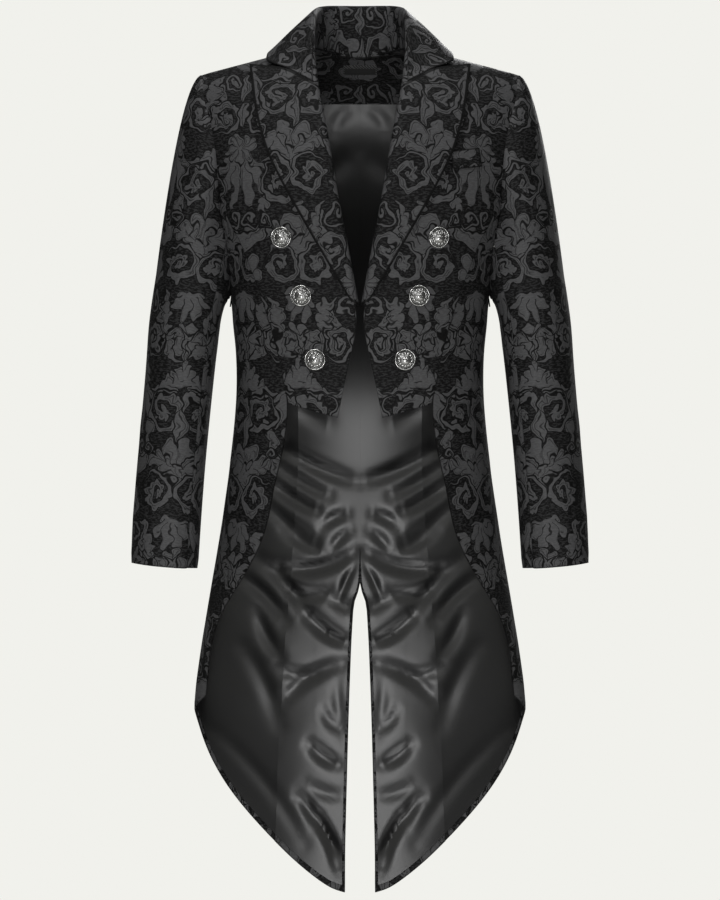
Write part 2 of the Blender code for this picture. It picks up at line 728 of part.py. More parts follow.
def lining_fold(x, z):
    """Depth of the lining's large folds."""
    deep = 0.0
    for (x0, z0), (x1, z1), wide, most in FOLDS:
        vx, vz = x1 - x0, z1 - z0
        t = min(max(((abs(x) - x0) * vx + (z - z0) * vz) / (vx * vx + vz * vz), 0), 1)
        away = math.hypot(abs(x) - x0 - t * vx, z - z0 - t * vz)
        deep += most * math.exp(-(away / wide) ** 2)
    return deep


inside = -(CLOTH + LAYER + 0.2)
rows = points(back_places(), inside, lining_fold)[4:]
rows = [[row[0]] + row[2:] for row in rows]
vent = [4.5 if row[0][2] < VENT[0][0] + 5 else 0.3 for row in rows]
pair("lining_back", pull(rows, vent, 0.3, 1.0, 9.0), SATIN, LINING, BEHIND)
rows = points(side_places(), inside,
              lambda x, z: lining_fold(x, z))
cut = [9.0 if row[-1][2] < LEVELS[-1] - 5 else 0.3 for row in rows]
pair("lining_side", pull(rows, 0.3, cut, 5.0, 9.0), SATIN, LINING, ASIDE)

cloth("back_neck_facing", facing_points(), 1.2, BROCADE, BEHIND)
cloth("neck_label", label_points(), 0.5, WOVEN, BEHIND)
cloth("breast_welt", welt_points(), 1.2, BROCADE, BEFORE)
for number, (bx, bz) in enumerate(BUTTONS, 1):
    button(f"button_{number}_left", bx, bz, 1)
    button(f"button_{number}_right", bx, bz, -1)
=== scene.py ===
"""A tailcoat in black brocade with two rows of three buttons, filled out as worn.

Metres, +Z up, the coat faces -Y and the wearer's left is +X. Each cloth piece
starts from its own solid, so it keeps the solid's place and form.
"""

import math

import bmesh
import bpy
import numpy as np
from mathutils import Matrix, Vector
from mathutils.bvhtree import BVHTree
from mathutils.kdtree import KDTree


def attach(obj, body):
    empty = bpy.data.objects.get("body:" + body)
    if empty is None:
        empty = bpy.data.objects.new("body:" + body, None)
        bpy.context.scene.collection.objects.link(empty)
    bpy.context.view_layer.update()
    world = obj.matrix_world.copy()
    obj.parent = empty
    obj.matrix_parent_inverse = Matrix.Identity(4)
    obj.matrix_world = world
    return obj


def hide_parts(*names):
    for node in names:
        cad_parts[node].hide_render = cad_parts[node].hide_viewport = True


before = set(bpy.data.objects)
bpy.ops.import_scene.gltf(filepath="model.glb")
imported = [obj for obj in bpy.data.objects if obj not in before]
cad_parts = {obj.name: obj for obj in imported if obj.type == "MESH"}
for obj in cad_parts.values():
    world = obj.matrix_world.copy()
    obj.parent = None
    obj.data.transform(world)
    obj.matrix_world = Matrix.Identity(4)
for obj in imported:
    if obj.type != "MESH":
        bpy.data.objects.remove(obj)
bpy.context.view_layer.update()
SIDES = (("left", 1), ("right", -1))

# thickness of the cloth of each kind of piece, mm
BROCADE_WALL, TURNED_WALL, TRIM_WALL, LINING_WALL, LABEL_WALL = 1.8, 2.0, 1.2, 1.0, 0.5

# ------------------------------------------------------------ the brocade
# Black on black figured cloth: smooth leaves and scrolls in a satin float
# stand on a dull ground ribbed by short dashes of weft. It is cut for every
# outer piece, so it is made first.


class Wire:
    """A number in a material. Arithmetic on it adds Math nodes."""

    def __init__(self, cloth, socket):
        self.cloth, self.socket = cloth, socket

    def maths(self, operation, *values):
        return self.cloth.node("Math", {"operation": operation}, values)

    def __add__(self, other):
        return self.maths("ADD", self, other)

    __radd__ = __add__

    def __mul__(self, other):
        return self.maths("MULTIPLY", self, other)

    __rmul__ = __mul__

    def __sub__(self, other):
        return self.maths("SUBTRACT", self, other)

    def __rsub__(self, other):
        return self.maths("SUBTRACT", other, self)

    def __abs__(self):
        return self.maths("ABSOLUTE", self)

    def least(self, other):
        return self.maths("MINIMUM", self, other)

    def most(self, other):
        return self.maths("MAXIMUM", self, other)

    def sin(self):
        return self.maths("SINE", self)

    def ping(self, scale):
        """Runs up to scale and back again, as a mirrored repeat does."""
        return self.maths("PINGPONG", self, scale)

    def wrap(self, low, high):
        return self.maths("WRAP", self, high, low)

    def turn(self, other):
        """The angle of the point with this height and the other width."""
        return self.maths("ARCTAN2", self, other)

    def step(self, low, high, start=0.0, end=1.0):
        """start below low, end above high, smooth between."""
        kind = {"interpolation_type": "SMOOTHSTEP"}
        return self.cloth.node("MapRange", kind, {
            "Value": self, "From Min": low, "From Max": high, "To Min": start, "To Max": end})


class Finish:
    """A material and its Principled shader."""

    def __init__(self, name, **shader):
        self.made = bpy.data.materials.new(name)
        self.made.use_nodes = True
        self.tree = self.made.node_tree
        self.shader = self.tree.nodes["Principled BSDF"]
        self.put(self.shader, {k.replace("_", " "): v for k, v in shader.items()})

    def put(self, node, values):
        pairs = values.items() if isinstance(values, dict) else enumerate(values)
        for key, value in pairs:
            if isinstance(value, Wire):
                self.tree.links.new(value.socket, node.inputs[key])
            else:
                node.inputs[key].default_value = value

    def node(self, kind, settings=None, values=(), out=0):
        new = self.tree.nodes.new("ShaderNode" + kind)
        for key, value in (settings or {}).items():
            setattr(new, key, value)
        self.put(new, values)
        if isinstance(out, tuple):
            return [Wire(self, new.outputs[k]) for k in out]
        return Wire(self, new.outputs[out])

    def cloth_mm(self):
        """Millimetres across and up the cut cloth."""
        uv = self.node("UVMap", {"uv_map": "cloth"})
        x, y = self.node("SeparateXYZ", None, (uv,), (0, 1))
        return x * 1000.0, y * 1000.0

    def at(self, x, y, z=0.0):
        return self.node("CombineXYZ", None, (x, y, z))

    def bump(self, height, strength, distance):
        return self.node("Bump", None, {
            "Height": height, "Strength": strength, "Distance": distance})


brocade = Finish("black_brocade", Roughness=0.6)
across, up = brocade.cloth_mm()
# The figure strays from a true repeat, by STRAY mm in all, as two noises that
# lie APART from each other say. Their lumps are about 1 / LUMP mm wide.
LUMP, STRAY, APART = 0.045, 22.0, 40.0
drift, drift_up = (
    brocade.node("TexNoise", {"noise_dimensions": "2D"}, {
        "Vector": brocade.at(across * LUMP + start, up * LUMP), "Scale": 1.0, "Detail": 1.0})
    for start in (0.0, APART))
sway, swell = across + (drift - 0.5) * STRAY, up + (drift_up - 0.5) * STRAY

# One repeat of the figure, mm. It mirrors about both of its long edges, and
# each part is woven over the ones before it with a dark gap round it.
REPEAT_HALF, REPEAT_HIGH = 80.0, 300.0
point = brocade.at(sway.ping(REPEAT_HALF), swell.wrap(0.0, REPEAT_HIGH))
# fans and flowers: centre, direction and half spread in degrees (400 goes all
# round), reach, petals in a full turn, how deep they are cut, round or not
FANS = (
    (80, 60, 90, 120, 46, 8, 1.3, True), (0, 186, -90, 80, 92, 17, 1.1, False),
    (0, 4, 90, 112, 44, 9, 1.4, True), (80, 236, 90, 400, 26, 7, 1.5, True),
    (0, 188, 90, 400, 22, 9, 1.6, True), (80, 299, -90, 110, 40, 11, 1.5, True),
)
# curved leaves: centre and radius of the midrib, direction and half span in
# degrees, half width, bluntness of both ends, lobes
LEAVES = (
    (38, 214, 47, -26, 74, 13, 1.6, 1.0, 9), (100, 266, 62, 200, 46, 13, 1.0, 1.6, 7),
    (28, 20, 62, 56, 62, 12, 1.0, 1.8, 9), (0, 106, 42, -90, 60, 12, 1.9, 1.9, 0),
    (2, 262, 46, -10, 60, 9, 1.0, 1.6, 8), (64, 106, 30, 170, 60, 8, 1.4, 1.0, 5),
)
# scrolls: centre, radius, space between coils, half width, start in degrees,
# hand, lobes
SCROLLS = (
    (58, 142, 27, 17, 5.2, 60, -1, 9), (55, 34, 25, 15.5, 4.8, 200, 1, 8),
    (27, 232, 24, 15, 4.6, 20, 1, 8), (13, 95, 12, 9, 2.6, 200, 1, 0),
    (17, 282, 14, 10, 3.0, 40, -1, 0), (35, 92, 10, 8, 2.4, 60, -1, 0),
)
# straight leaves: root, direction in degrees, length, half width
BLADES = (((0, 212), 90, 40, 6.5), ((80, 96), 90, 52, 8.5), ((0, 254), 90, 40, 6))
# slits: half width between petals, mm, and the share of the reach inside which
# there is none; width between lobes and how far they stay from the midrib, mm;
# half width along a blade and how far it stays from the outline, mm
PETAL_SLIT, PETAL_ROOT = 0.55, 0.22
LOBE_SLIT, LOBE_ROOT = 0.16, 2.5
BLADE_SLIT, BLADE_END = 0.5, 1.5
# how much the lobes of a leaf lean back, and their depth and the width left
LEAF_LEAN, LEAF_LOBE, LEAF_REST = 0.16, 0.45, 0.62
# how a scroll widens from its middle, its lobes and its eye, shares of its size
COIL_GROWS, COIL_START, COIL_LOBE, COIL_REST, COIL_EYE = 0.11, 0.5, 0.75, 0.55, 0.9


def turned(centre, degrees):
    """The point of the cloth as seen from a centre, along a direction."""
    return brocade.node("Mapping", {"vector_type": "TEXTURE"}, {
        "Vector": point, "Location": (*centre, 0), "Rotation": (0, 0, math.radians(degrees))})


def around(centre, degrees):
    """How far a point is from a centre, and its angle from a direction."""
    spot = turned(centre, degrees)
    px, py = brocade.node("SeparateXYZ", None, (spot,), (0, 1))
    return brocade.node("VectorMath", {"operation": "LENGTH"}, (spot,), 1), py.turn(px)


motifs = []   # mm outside its outline and mm inside its slits, for each part
for cx, cy, aim, spread, reach, petals, depth, rounded in FANS:
    far, angle = around((cx, cy), aim)
    side = abs((angle * (petals / (2 * math.pi)) + 0.5).wrap(-0.5, 0.5))
    tip = (1.0 - (side * side if rounded else side) * depth) * reach
    if spread < 360:
        bend = angle * (1 / math.radians(spread))
        tip = tip * (1.0 - bend * bend)
    slit = (side - 0.5) * far * (2 * math.pi / petals) + PETAL_SLIT
    motifs.append((far - tip, slit.least(far - reach * PETAL_ROOT).least(tip - far)))
for cx, cy, radius, aim, span, half, root, tip, lobes in LEAVES:
    far, angle = around((cx, cy), aim)
    along = angle * (1 / math.radians(span))
    off = abs(far - radius)
    wide = ((along + 1.0) * root).least((1.0 - along) * tip).least(1.0) * half
    slit = None
    if lobes:
        ripple = abs((along * (lobes * math.pi / 2) - off * LEAF_LEAN).sin())
        wide = wide * (ripple * LEAF_LOBE + LEAF_REST)
        slit = ((LOBE_SLIT - ripple) * 3.0).least(off - LOBE_ROOT).least(wide - off)
    motifs.append((off - wide, slit))
for cx, cy, radius, coil, half, start, hand, lobes in SCROLLS:
    far, angle = around((cx, cy), start)
    winds = (far * (1 / coil) - angle * (hand / (2 * math.pi))).wrap(-0.5, 0.5)
    wide = far * COIL_GROWS + half * COIL_START
    band, outer = winds * coil, wide
    if lobes:
        outer = wide * (abs((angle * (lobes * 0.5)).sin()) * COIL_LOBE + COIL_REST)
    ribbon = (band - outer).most(wide * -1.0 - band).most(far - radius)
    motifs.append((ribbon.least(far - half * COIL_EYE), None))
for root, aim, long, half in BLADES:
    px, py = brocade.node("SeparateXYZ", None, (turned(root, aim),), (0, 1))
    share = px.most(-3.0) * (1 / long)
    wide = share * (1.0 - share) * (4.0 * half)
    off = abs(py)
    motifs.append((off - wide, (BLADE_SLIT - off).least(wide - BLADE_END)))

GAP = 1.3   # mm of ground left round a part that is woven over others
shape, slits = motifs[0]
for part, slit in motifs[1:]:
    shape = shape.most(GAP - part).least(part)
    if slit is not None:
        slits = slits.most(slit)

figure = shape.step(-0.4, 0.4, 1.0, 0.0)
outline = abs(shape - 0.3).step(0.5, 1.1, 1.0, 0.0).most(slits.step(-0.3, 0.2) * figure)
# dashes per mm across and up
DASH_ACROSS, DASH_UP = 0.17, 0.5
dash = brocade.node("TexNoise", {"noise_dimensions": "2D"}, {
    "Vector": brocade.at(across * DASH_ACROSS, up * DASH_UP),
    "Scale": 1.0, "Detail": 2.0, "Roughness": 0.65})
ground = dash.step(0.47, 0.58)
# a line that follows the outline inside the larger figures, here and there
VEIN_IN = 3.3
vein = abs(shape + VEIN_IN).step(0.3, 0.75, 1.0, 0.0) * drift.step(0.42, 0.52)
# painted shade: the brocade is darkened towards its edges and seams, where the shadow under a
# lapel edge or in a seam falls
rim = brocade.node("Attribute", {"attribute_name": "edge"}, (), "Fac").step(0.6, 0.8, 1.0, 0.04)
# how light the figures are between and on the dashes, and the ground too
FIGURE_DARK, FIGURE_DASH, GROUND_DARK, GROUND_DASH = 0.05, 0.012, 0.0004, 0.017
smooth = figure * (ground * FIGURE_DASH + FIGURE_DARK) * (1.0 - vein * 0.75)
dull = (1.0 - figure) * (ground * GROUND_DASH + GROUND_DARK)
tone = (smooth + dull) * (1.0 - outline * 0.93) * rim
brocade.put(brocade.shader, {
    "Base Color": brocade.at(tone, tone, tone * 1.03),
    "Roughness": figure * -0.18 + 0.72,
    "Specular IOR Level": 0.16,
    "Normal": brocade.bump(ground * (1.0 - figure) + figure * 0.8 - outline, 0.45, 0.0004),
})

satin = Finish("black_satin", Base_Color=(0.004, 0.004, 0.0042, 1), Specular_IOR_Level=0.5)
across, up = satin.cloth_mm()
thread = satin.node("TexNoise", {"noise_dimensions": "2D"}, {
    "Vector": satin.at(across * 0.25, up * 2.6), "Scale": 1.0, "Detail": 2.0})
satin.put(satin.shader, {"Roughness": thread * 0.12 + 0.3})

# ------------------------------------------------------------ the backs
# Two long panels from the neck and shoulder seam to the tail tips, joined by
# the centre-back seam down to the vent. Brocade, seamed with a narrow press.


def alone(piece):
    """Selects one object and makes it the active one."""
    bpy.ops.object.select_all(action="DESELECT")
    piece.select_set(True)
    bpy.context.view_layer.objects.active = piece


WALL_SEEN = 1.8     # a narrow edge looks through more than so many thicknesses
NEAR_COUNTS = 4.0   # a metre from the point counts for so much of the facing
CORNER = -0.75      # a corner's two edges turn by more than this cosine says
SEAM_OUT = 0.45     # mm that a panel's edge is brought out to its neighbour


def cut(name, node, near, facing, rounds, thick=BROCADE_WALL, sharpest=50, seam=0.7):
    """The side of a solid's wall that shows, copied and made smooth. It is the
    side near a point and facing a way, up to folds sharper than so many degrees.
    The wall's narrow edges are found by how far through the cloth they look."""
    piece = bpy.data.objects.new(name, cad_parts[node].data.copy())
    bpy.context.scene.collection.objects.link(piece)
    piece.data.materials.clear()
    alone(piece)
    bpy.ops.object.mode_set(mode="EDIT")
    bpy.ops.mesh.select_all(action="SELECT")
    bpy.ops.mesh.remove_doubles(threshold=1e-5)
    bpy.ops.mesh.customdata_custom_splitnormals_clear()
    bpy.ops.mesh.select_all(action="DESELECT")
    wall = bmesh.from_edit_mesh(piece.data)
    near, facing = Vector(near), Vector(facing).normalized()
    solid = BVHTree.FromBMesh(wall)
    edge = []
    for f in wall.faces:
        through = solid.ray_cast(f.calc_center_median() - f.normal * 1e-5, -f.normal, 0.1)[3]
        if through is None or through > WALL_SEEN * thick / 1000:
            edge.append(f)
    bmesh.ops.delete(wall, geom=edge, context="FACES")
    limit = math.radians(sharpest)
    sharp = [e for e in wall.edges if len(e.link_faces) == 2 and e.calc_face_angle() > limit]
    bmesh.ops.split_edges(wall, edges=sharp)
    wall.faces.ensure_lookup_table()
    first = max(wall.faces, key=lambda f: (
        f.normal.dot(facing) - NEAR_COUNTS * (f.calc_center_median() - near).length))
    kept, more = {first}, [first]
    while more:
        for e in more.pop().edges:
            for f in e.link_faces:
                if f not in kept:
                    kept.add(f)
                    more.append(f)
    other = [f for f in wall.faces if f not in kept]
    bmesh.ops.delete(wall, geom=other, context="FACES")
    bmesh.update_edit_mesh(piece.data)
    bpy.ops.mesh.select_all(action="SELECT")
    bpy.ops.mesh.remove_doubles(threshold=1e-5)
    bpy.ops.mesh.tris_convert_to_quads(
        face_threshold=math.radians(60), shape_threshold=math.radians(80),
        topology_influence=1.6)
    piece.data.uv_layers.new(name="cloth")
    bpy.ops.uv.unwrap(method="MINIMUM_STRETCH", iterations=30, margin=0)
    wall = bmesh.from_edit_mesh(piece.data)
    corners = wall.verts.layers.float.new("crease_vert")
    for v in wall.verts:
        rim = [e for e in v.link_edges if e.is_boundary]
        if len(rim) == 2:
            ways = [(e.other_vert(v).co - v.co).normalized() for e in rim]
            v[corners] = 1.0 if ways[0].dot(ways[1]) > CORNER else 0.0
    bmesh.update_edit_mesh(piece.data)
    bpy.ops.object.mode_set(mode="OBJECT")
    smooth = piece.modifiers.new("smooth", "SUBSURF")
    smooth.levels = smooth.render_levels = rounds
    bpy.ops.object.modifier_apply(modifier="smooth")
    bpy.ops.mesh.customdata_custom_splitnormals_clear()
    meet(piece, SEAM_OUT, seam)
    return piece


def meet(piece, out, down, low=-math.inf, high=math.inf, wide=0.0):
    """Moves the edges out to meet their neighbours and presses them down, as
    a seam lies. Both in mm, between two heights and beyond a width in m."""
    cloth = bmesh.new()
    cloth.from_mesh(piece.data)
    cloth.normal_update()
    move = {}
    for v in cloth.verts:
        rim = [e for e in v.link_edges if e.is_boundary]
        if rim and low < v.co.z < high and abs(v.co.x) > wide:
            way = Vector()
            for e in rim:
                along = (e.other_vert(v).co - v.co).normalized()
                in_ = e.link_faces[0].calc_center_median() - v.co
                way -= (in_ - along * in_.dot(along)).normalized()
            move[v] = way.normalized() * out / 1000 - v.normal * down / 1000
    for v, by in move.items():
        v.co += by
    cloth.to_mesh(piece.data)
    cloth.free()


# the vent, mm: height, half gap as cut, half gap as it hangs
VENT = (
    (-1100, 19.8, 19.8), (-985, 18.6, 18.8), (-937, 17, 17.6), (-888, 15, 16.3),
    (-839, 12.7, 14.8), (-790, 10.1, 13), (-741, 7, 11), (-715, 4.2, 9), (-700, 2.4, 6),
    (-690, 1.8, 1.5), (-682, 1.6, 0.1), (-643, 0.3, 0.1), (-600, 0.3, 0.1),
)
VENT_FADES = 60.0   # mm from the centre line over which the cloth gives way


def open_vent(piece, k):
    """Brings the inner edge of a tail to the line of the vent."""
    heights, cut_gap, hung_gap = zip(*VENT)
    for v in piece.data.vertices:
        z, off = v.co.z * 1000, abs(v.co.x) * 1000
        if z < heights[-1] and off < VENT_FADES:
            was = float(np.interp(z, heights, cut_gap))
            now = float(np.interp(z, heights, hung_gap))
            v.co.x += k * (now - was) / 1000 * (1 - max(off - was, 0) / VENT_FADES)


def spots(piece):
    """Where each point of a piece is."""
    co = np.empty(len(piece.data.vertices) * 3)
    piece.data.vertices.foreach_get("co", co)
    return co.reshape(-1, 3)


def outward(piece):
    """The way each point of a piece faces."""
    no = np.empty(len(piece.data.vertices) * 3)
    piece.data.vertices.foreach_get("normal", no)
    return no.reshape(-1, 3)


def lay_flat(piece, mirrored, at, to):
    """Unwraps the piece as it was cut, in metres, its height up the cloth.
    The point nearest at comes to the place to on the pattern."""
    mesh = piece.data
    mesh.update()
    co = spots(piece)
    corner = np.empty(len(mesh.loops), dtype=int)
    mesh.loops.foreach_get("vertex_index", corner)
    uv = np.empty(len(mesh.loops) * 2)
    mesh.uv_layers["cloth"].data.foreach_get("uv", uv)
    uv = uv.reshape(-1, 2)
    real, flat, handed = 0.0, 0.0, 0.0
    for face in mesh.polygons:
        x, y = uv[face.loop_start:face.loop_start + face.loop_total].T
        area = 0.5 * float(np.sum(x * np.roll(y, -1) - y * np.roll(x, -1)))
        real, flat, handed = real + face.area, flat + abs(area), handed + area
    if handed < 0:
        uv[:, 0] *= -1
    uv *= math.sqrt(real / flat)
    fit = np.c_[uv, np.ones(len(uv))]
    rise = np.linalg.lstsq(fit, co[corner][:, 2], rcond=None)[0][:2]
    rise = rise / np.linalg.norm(rise)
    uv = uv @ np.array(((rise[1], rise[0]), (-rise[0], rise[1])))
    if mirrored:
        uv[:, 0] *= -1
    nearest = np.argmin(np.linalg.norm(co[corner] - np.array(at), axis=1))
    uv += np.array(to) - uv[nearest]
    mesh.uv_layers["cloth"].data.foreach_set("uv", uv.ravel())
    size = uv.max(axis=0) - uv.min(axis=0)
    return [float(round(v, 4)) for v in size], float(round(real, 5))


BACK_FROM = 0.035   # depth in m behind which a fold of the back is laid


def press(piece, creases):
    """Soft ridges and troughs, mm: x, z of one end and the other, how far the
    middle bends, width, height, and the half of the coat that it is on."""
    co, no = spots(piece), outward(piece)
    flat = co[:, (0, 2)] * 1000
    move = np.zeros(len(co))
    depth = co[:, 1]
    halves = {"front": depth < 0, "back": depth > BACK_FROM, "all": np.ones(len(co), dtype=bool)}
    for x0, z0, x1, z1, bend, width, height, half in creases:
        t = np.linspace(0, 1, 90)
        side = np.array([z1 - z0, x0 - x1]) / math.hypot(x1 - x0, z1 - z0)
        line = np.c_[x0 + (x1 - x0) * t, z0 + (z1 - z0) * t]
        line = line + np.outer(4 * t * (1 - t) * bend, side)
        away = np.linalg.norm(flat[:, None] - line[None], axis=2)
        fade = np.sin(np.pi * np.clip(t[away.argmin(axis=1)], 0.06, 0.94)) ** 0.6
        move += height * fade * np.exp(-(away.min(axis=1) / width) ** 2) * halves[half]
    co = co + no * move[:, None] / 1000
    piece.data.vertices.foreach_set("co", co.ravel())
    piece.data.update()


EDGE_SHADE_BAND = 0.008   # width in m of the painted shade along an edge


def shade_edge(piece, strength):
    """Marks how near the cloth is to its edge, for the painted shade that darkens it along its
    edges and seams.
    """
    cloth = bmesh.new()
    cloth.from_mesh(piece.data)
    painted_edge_shade = cloth.verts.layers.float.new("edge")
    rim = [e for e in cloth.edges if e.is_boundary]
    places = KDTree(len(rim) * 3)
    for n, e in enumerate(rim):
        a, b = e.verts[0].co, e.verts[1].co
        for part, spot in enumerate((a, (a + b) / 2, b)):
            places.insert(spot, n * 3 + part)
    places.balance()
    for v in cloth.verts:
        v[painted_edge_shade] = strength * max(0.0, 1 - places.find(v.co)[2] / EDGE_SHADE_BAND)
    cloth.to_mesh(piece.data)
    cloth.free()


def wall(piece, thick, outside, inside, edge=0.76):
    """Gives the cloth its thickness in mm, away from its face, and its looks:
    outside, inside, and how dark the painted shade along its edge is."""
    shade_edge(piece, edge)
    for finish in (outside, inside):
        piece.data.materials.append(finish.made)
    body = piece.modifiers.new("wall", "SOLIDIFY")
    body.thickness, body.offset = thick / 1000, -1
    body.use_even_offset = False
    body.material_offset = 1
    alone(piece)
    bpy.ops.object.modifier_apply(modifier="wall")
    bpy.ops.object.shade_smooth_by_angle(angle=math.radians(50))


def hang(piece, node):
    """Hangs the piece from the root and hides the solid that it replaces."""
    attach(piece, "root")
    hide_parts(node)


def fold_rows(rows, k, half):
    """A table of folds for the wearer's left, or mirrored for the right. A row
    has x, z of both ends, the bend of the middle, width and height, mm."""
    return [(k * x0, z0, k * x1, z1, -k * bend, width, height, half)
            for x0, z0, x1, z1, bend, width, height in rows]


BACK_FOLDS = (
    (16, -372, 78, -352, 4, 9, 1.2), (22, -400, 84, -418, -4, 9, 1.0),
    (60, -120, 150, -60, 6, 14, 1.4), (120, -230, 170, -190, 5, 12, 1.2),
    (24, -560, 60, -700, 4, 12, 1.6), (70, -720, 40, -900, -5, 14, 1.6),
)
# turned in under the sleeve head: out and down in mm, heights and width in m
ARMHOLE = (2.6, 0.3, -0.285, -0.03, 0.16)
for side, k in SIDES:
    back = cut("cloth_back_" + side, "back_" + side, (k * 0.06, 0.12, -0.4), (0, 1, 0), 2)
    meet(back, *ARMHOLE)
    size, area = lay_flat(back, k < 0, (0, 0.12, -0.4), (0, -0.4))
    open_vent(back, k)
    press(back, fold_rows(BACK_FOLDS, k, "back"))
    wall(back, BROCADE_WALL, brocade, brocade)
    hang(back, "back_" + side)

# ------------------------------------------------------------ the side bodies
# From the lower armhole to the hem, with the outer half of the tail in one
# with them and the cutaway edge in front. Brocade.
FLANK_FOLDS = (
    (150, -380, 170, -330, 3, 10, 1.0), (120, -560, 150, -720, 5, 14, 1.5),
    (160, -640, 180, -800, 5, 14, 1.5), (110, -470, 160, -520, 5, 10, 1.2),
)
for side, k in SIDES:
    flank = cut("cloth_side_" + side, "side_" + side, (k * 0.165, 0, -0.42), (k, 0, 0), 2)
    meet(flank, *ARMHOLE)
    size, area = lay_flat(flank, k < 0, (k * 0.16, 0, -0.4), (0.3, -0.4))
    press(flank, fold_rows(FLANK_FOLDS, k, "all"))
    wall(flank, BROCADE_WALL, brocade, brocade)
    hang(flank, "side_" + side)

# ------------------------------------------------------------ the fronts
# Waist-length fronts, from the shoulder seam to the slanted lower edge. They
# meet at one point and part below it. Brocade, lined.
FRONT_FOLDS = (
    (62, -386, 150, -352, 4, 8, 0.8), (66, -398, 120, -430, 4, 9, 0.8),
    (150, -240, 112, -300, 5, 10, 0.9), (160, -190, 120, -214, 5, 9, 0.9),
    (92, -320, 156, -300, 3, 8, 0.7), (150, -150, 166, -230, 4, 9, 0.8),
)
for side, k in SIDES:
    front = cut("cloth_front_" + side, "front_" + side, (k * 0.1, -0.11, -0.3), (0, -1, 0), 2)
    meet(front, *ARMHOLE)
    size, area = lay_flat(front, k < 0, (k * 0.1, -0.11, -0.3), (0.1, -0.3))
    press(front, fold_rows(FRONT_FOLDS, k, "front"))
    wall(front, BROCADE_WALL, brocade, satin)
    hang(front, "front_" + side)

# ------------------------------------------------------------ the sleeves
# Two-piece sleeves, a top half and an under half, with plain cuffs and a
# satin lining. They hang beside the body and bend a little at the elbow.
SLEEVE_FOLDS = (
    (236, -322, 182, -300, 4, 9, 1.6), (250, -352, 196, -372, -4, 10, 1.8),
    (262, -398, 214, -384, 4, 9, 1.3), (272, -300, 250, -420, 6, 12, 1.4),
    (214, -96, 196, -226, -4, 9, 1.3), (286, -470, 236, -500, 5, 12, 1.2),
    (230, -440, 246, -560, 5, 12, 1.2), (262, -560, 292, -612, 4, 12, 1.0),
    (226, -250, 258, -290, 4, 12, -1.2),
)
UNDER_ARM, UNDER_REACH, UNDER_IN = -0.288, 0.062, 0.0075   # height, reach, inwards
CHEST_OUT, CHEST_FADES = 0.172, 0.05                       # width, where it ends


def calm(piece, middle, reach, rounds):
    """Evens the cloth round a point where the panels crowd together, mm."""
    alone(piece)
    bpy.ops.object.mode_set(mode="EDIT")
    bpy.ops.mesh.select_mode(type="VERT")
    bpy.ops.mesh.select_all(action="DESELECT")
    bpy.ops.object.mode_set(mode="OBJECT")
    for v in piece.data.vertices:
        v.select = (v.co * 1000 - Vector(middle)).length < reach
    bpy.ops.object.mode_set(mode="EDIT")
    bpy.ops.mesh.vertices_smooth(factor=0.5, repeat=rounds)
    bpy.ops.object.mode_set(mode="OBJECT")


def draw_in(sleeve, k):
    """Brings the sleeve against the body under the arm."""
    for v in sleeve.data.vertices:
        low = max(0.0, 1 - abs(v.co.z - UNDER_ARM) / UNDER_REACH)
        near = max(0.0, 1 - max(abs(v.co.x) - CHEST_OUT, 0) / CHEST_FADES)
        v.co.x -= k * UNDER_IN * low * low * (3 - 2 * low) * near


# half, a point on it at the wearer's left, its facing, sharpest fold, edge out
SLEEVES = (("top", (0.28, 0, -0.4), 1, 50, 1.0), ("under", (0.19, 0, -0.5), -1, 100, 0.1))
HEAD_FROM = -0.262   # above it the sleeve reaches further in at the armhole
for side, k in SIDES:
    for half, (x, y, z), way, sharpest, out in SLEEVES:
        node, near = f"{half}_sleeve_{side}", (k * x, y, z)
        sleeve = cut("cloth_" + node, node, near, (k * way, 0, 0), 2, sharpest=sharpest)
        meet(sleeve, out, 0.2)
        meet(sleeve, 2.0, 0.2, HEAD_FROM)
        draw_in(sleeve, k)
        if half == "under":
            calm(sleeve, (k * 166, 0, -312), 38, 30)
            for depth in (45, -45):
                calm(sleeve, (k * 175, depth, -240), 12, 12)
        size, area = lay_flat(sleeve, k < 0, near, (0.5, near[2]))
        press(sleeve, fold_rows(SLEEVE_FOLDS, k, "all"))
        wall(sleeve, BROCADE_WALL, brocade, satin)
        hang(sleeve, node)

# ------------------------------------------------------------ lapels and collar
# Wide peak lapels turn over at the roll line. The collar stands up at the
# back of the neck, folds over and meets the lapels at the gorge. Brocade.
LAPEL_EDGE_SHADE, COLLAR_EDGE_SHADE, WELT_EDGE_SHADE = 1.25, 0.95, 0.85   # how dark the painted edge shade is, 0.76 elsewhere
FAN_FOOT = (0.08, 0.06)   # the place on the pattern where the tall fan springs
for side, k in SIDES:
    middle = (k * 0.09, -0.12, -0.12)
    lapel = cut("cloth_lapel_" + side, "lapel_" + side, middle, (0, -1, 0), 2, TURNED_WALL)
    size, area = lay_flat(lapel, k < 0, middle, FAN_FOOT)
    wall(lapel, TURNED_WALL, brocade, brocade, LAPEL_EDGE_SHADE)
    hang(lapel, "lapel_" + side)

# the sewn edge of the stand: half width, depth and height, m, and how far it
# is let down in front of the facing
STAND_WIDE, STAND_BACK, STAND_TOP, STAND_DOWN = 0.062, 0.066, 0.026, 0.006
COLLAR_FOLD = 68   # degrees, sharper than any turn in the collar's own surface
top = (0, 0.065, 0.075)
collar = cut("cloth_collar", "collar", top, (0, 0, 1), 2, TURNED_WALL, COLLAR_FOLD)
for v in collar.data.vertices:
    if abs(v.co.x) < STAND_WIDE and v.co.y < STAND_BACK and v.co.z < STAND_TOP:
        v.co.z -= STAND_DOWN
size, area = lay_flat(collar, False, top, (0.0, 0.0))
wall(collar, TURNED_WALL, brocade, brocade, COLLAR_EDGE_SHADE)
hang(collar, "collar")

